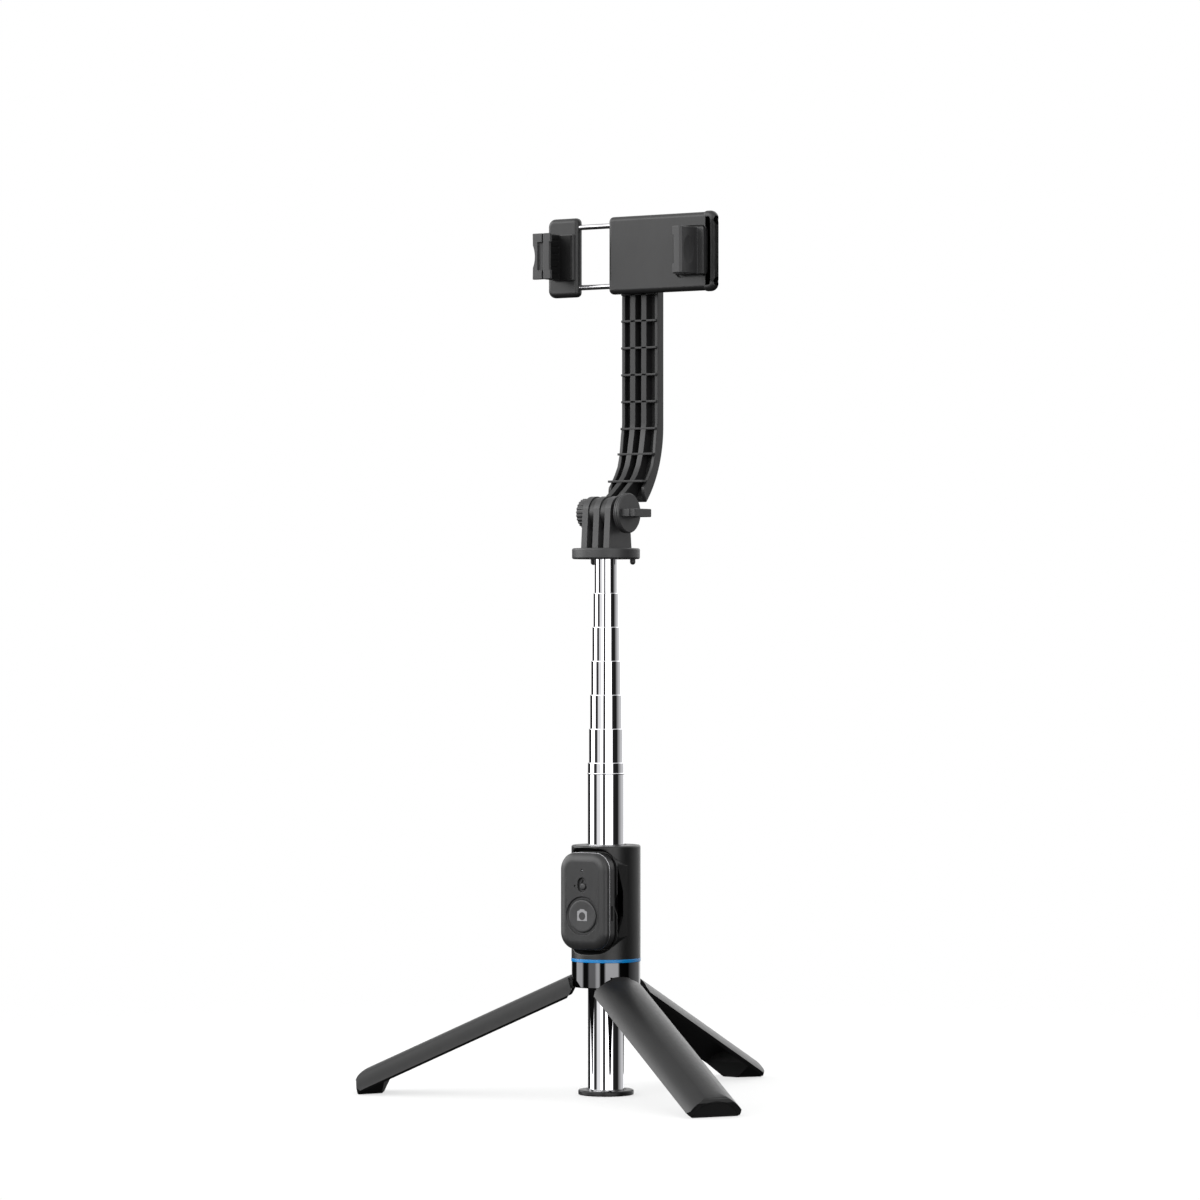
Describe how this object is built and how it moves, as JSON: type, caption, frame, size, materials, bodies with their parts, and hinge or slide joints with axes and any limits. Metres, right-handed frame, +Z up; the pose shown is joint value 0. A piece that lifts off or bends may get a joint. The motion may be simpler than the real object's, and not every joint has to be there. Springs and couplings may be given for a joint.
{
  "type": "selfie stick",
  "caption": "Pocket selfie stick: telescopic chrome pole in a tripod handle with folding legs, tilting arm, sprung phone clamp and pull-off remote.",
  "frame": {"origin": "centre of the underside of the disc at the foot of the pole, on the floor", "axes": "+Z up along the pole, -Y the way the phone clamp and the remote face, +X to the right seen from the front"},
  "size_m": [0.2022, 0.1761, 0.3893],
  "materials": {
    "black_abs": "satin, fine moulded grain",
    "grey_abs": "satin, slightly lighter",
    "remote_black": "satin",
    "button_grey": "satin",
    "black_chrome": "polished black chrome plating",
    "blue_gloss": "gloss",
    "pole_chrome": "mirror chrome plate",
    "white_acetal": "smooth",
    "dark_acetal": "smooth",
    "plated_steel": "zinc plated",
    "magnet_nickel": "nickel plated",
    "silver_trim": "satin",
    "pad_rubber": "matt",
    "light_pipe": "clear",
    "board_green": "solder mask",
    "dome_brass": "bright"
  },
  "bodies": {
    "handle": {"handle_shell": "black_abs", "accent_ring": "blue_gloss", "hub_collar": "black_chrome", "top_bush": "dark_acetal", "hub_bush": "dark_acetal", "leg_pins": "plated_steel", "dock_magnets": "magnet_nickel"},
    "leg_a": {"leg_a": "black_abs", "foot_a": "pad_rubber"},
    "leg_b": {"leg_b": "black_abs", "foot_b": "pad_rubber"},
    "leg_c": {"leg_c": "black_abs", "foot_c": "pad_rubber"},
    "pole": {"tube_1": "pole_chrome", "base_disc": "black_abs"},
    "section_2": {"tube_2": "pole_chrome", "glide_2": "white_acetal"},
    "section_3": {"tube_3": "pole_chrome", "glide_3": "white_acetal"},
    "section_4": {"tube_4": "pole_chrome", "glide_4": "white_acetal"},
    "section_5": {"tube_5": "pole_chrome", "glide_5": "white_acetal"},
    "section_6": {"tube_6": "pole_chrome", "glide_6": "white_acetal"},
    "top_section": {"tube_7": "pole_chrome", "glide_7": "white_acetal", "head_mount": "grey_abs", "nut_cap": "grey_abs", "hex_nut": "plated_steel"},
    "thumb_screw": {"thumb_knob": "grey_abs", "tilt_bolt": "plated_steel"},
    "arm": {"tilt_arm": "black_abs"},
    "clamp": {"pivot_screw": "plated_steel", "pivot_washer": "white_acetal", "clamp_frame": "black_abs", "fixed_jaw": "grey_abs", "fixed_jaw_pad": "pad_rubber", "clamp_springs": "plated_steel"},
    "clamp_slide": {"sliding_frame": "black_abs", "moving_jaw": "grey_abs", "moving_jaw_pad": "pad_rubber", "guide_rods": "plated_steel"},
    "remote": {"remote_back": "remote_black", "remote_front": "remote_black", "remote_trim": "silver_trim", "status_light": "light_pipe", "circuit_board": "board_green", "dome_switch": "dome_brass", "coin_cell": "magnet_nickel", "keeper_plates": "magnet_nickel"},
    "shutter": {"shutter_button": "button_grey"},
    "power": {"power_switch": "button_grey"}
  },
  "joints": [
    {"name": "leg_a_fold", "type": "hinge", "parent": "handle", "child": "leg_a", "pos_m": [0.01039, -0.006, 0.0508], "axis": [-0.5, -0.866, 0], "range_deg": [-65.15, 0]},
    {"name": "leg_b_fold", "type": "hinge", "parent": "handle", "child": "leg_b", "pos_m": [0, 0.012, 0.0508], "axis": [1, 0, 0], "range_deg": [-65.15, 0]},
    {"name": "leg_c_fold", "type": "hinge", "parent": "handle", "child": "leg_c", "pos_m": [-0.01039, -0.006, 0.0508], "axis": [-0.5, 0.866, 0], "range_deg": [-65.15, 0]},
    {"name": "pole_slide", "type": "slide", "parent": "handle", "child": "pole", "axis": [0, 0, 1], "range_m": [-0.0362, 0.0452]},
    {"name": "tube_2_slide", "type": "slide", "parent": "pole", "child": "section_2", "axis": [0, 0, 1], "range_m": [-0.01495, 0.09705]},
    {"name": "tube_3_slide", "type": "slide", "parent": "section_2", "child": "section_3", "axis": [0, 0, 1], "range_m": [-0.01495, 0.09205]},
    {"name": "tube_4_slide", "type": "slide", "parent": "section_3", "child": "section_4", "axis": [0, 0, 1], "range_m": [-0.01495, 0.08705]},
    {"name": "tube_5_slide", "type": "slide", "parent": "section_4", "child": "section_5", "axis": [0, 0, 1], "range_m": [-0.01495, 0.08205]},
    {"name": "tube_6_slide", "type": "slide", "parent": "section_5", "child": "section_6", "axis": [0, 0, 1], "range_m": [-0.01495, 0.07705]},
    {"name": "tube_7_slide", "type": "slide", "parent": "section_6", "child": "top_section", "axis": [0, 0, 1], "range_m": [-0.01485, 0.07205]},
    {"name": "thumb_screw_turn", "type": "hinge", "parent": "top_section", "child": "thumb_screw", "pos_m": [0.01, 0, 0.2563], "axis": [1, 0, 0], "continuous": true},
    {"name": "arm_tilt", "type": "hinge", "parent": "top_section", "child": "arm", "pos_m": [0, 0, 0.2563], "axis": [-1, 0, 0], "range_deg": [-180, 60]},
    {"name": "clamp_rotate", "type": "hinge", "parent": "arm", "child": "clamp", "pos_m": [0, 0.025, 0.3716], "axis": [0, 1, 0], "range_deg": [0, 180]},
    {"name": "jaw_slide", "type": "slide", "parent": "clamp", "child": "clamp_slide", "axis": [-1, 0, 0], "range_m": [-0.0162, 0.0185], "deforming": ["clamp_springs"]},
    {"name": "remote_pull", "type": "slide", "parent": "handle", "child": "remote", "axis": [0, -1, 0], "range_m": [0, 0.03]},
    {"name": "shutter_press", "type": "slide", "parent": "remote", "child": "shutter", "axis": [0, 1, 0], "range_m": [0, 0.0005], "stiffness_N_per_m": 600},
    {"name": "power_switch_slide", "type": "slide", "parent": "remote", "child": "power", "axis": [0, 0, 1], "range_m": [0, 0.0014]}
  ]
}
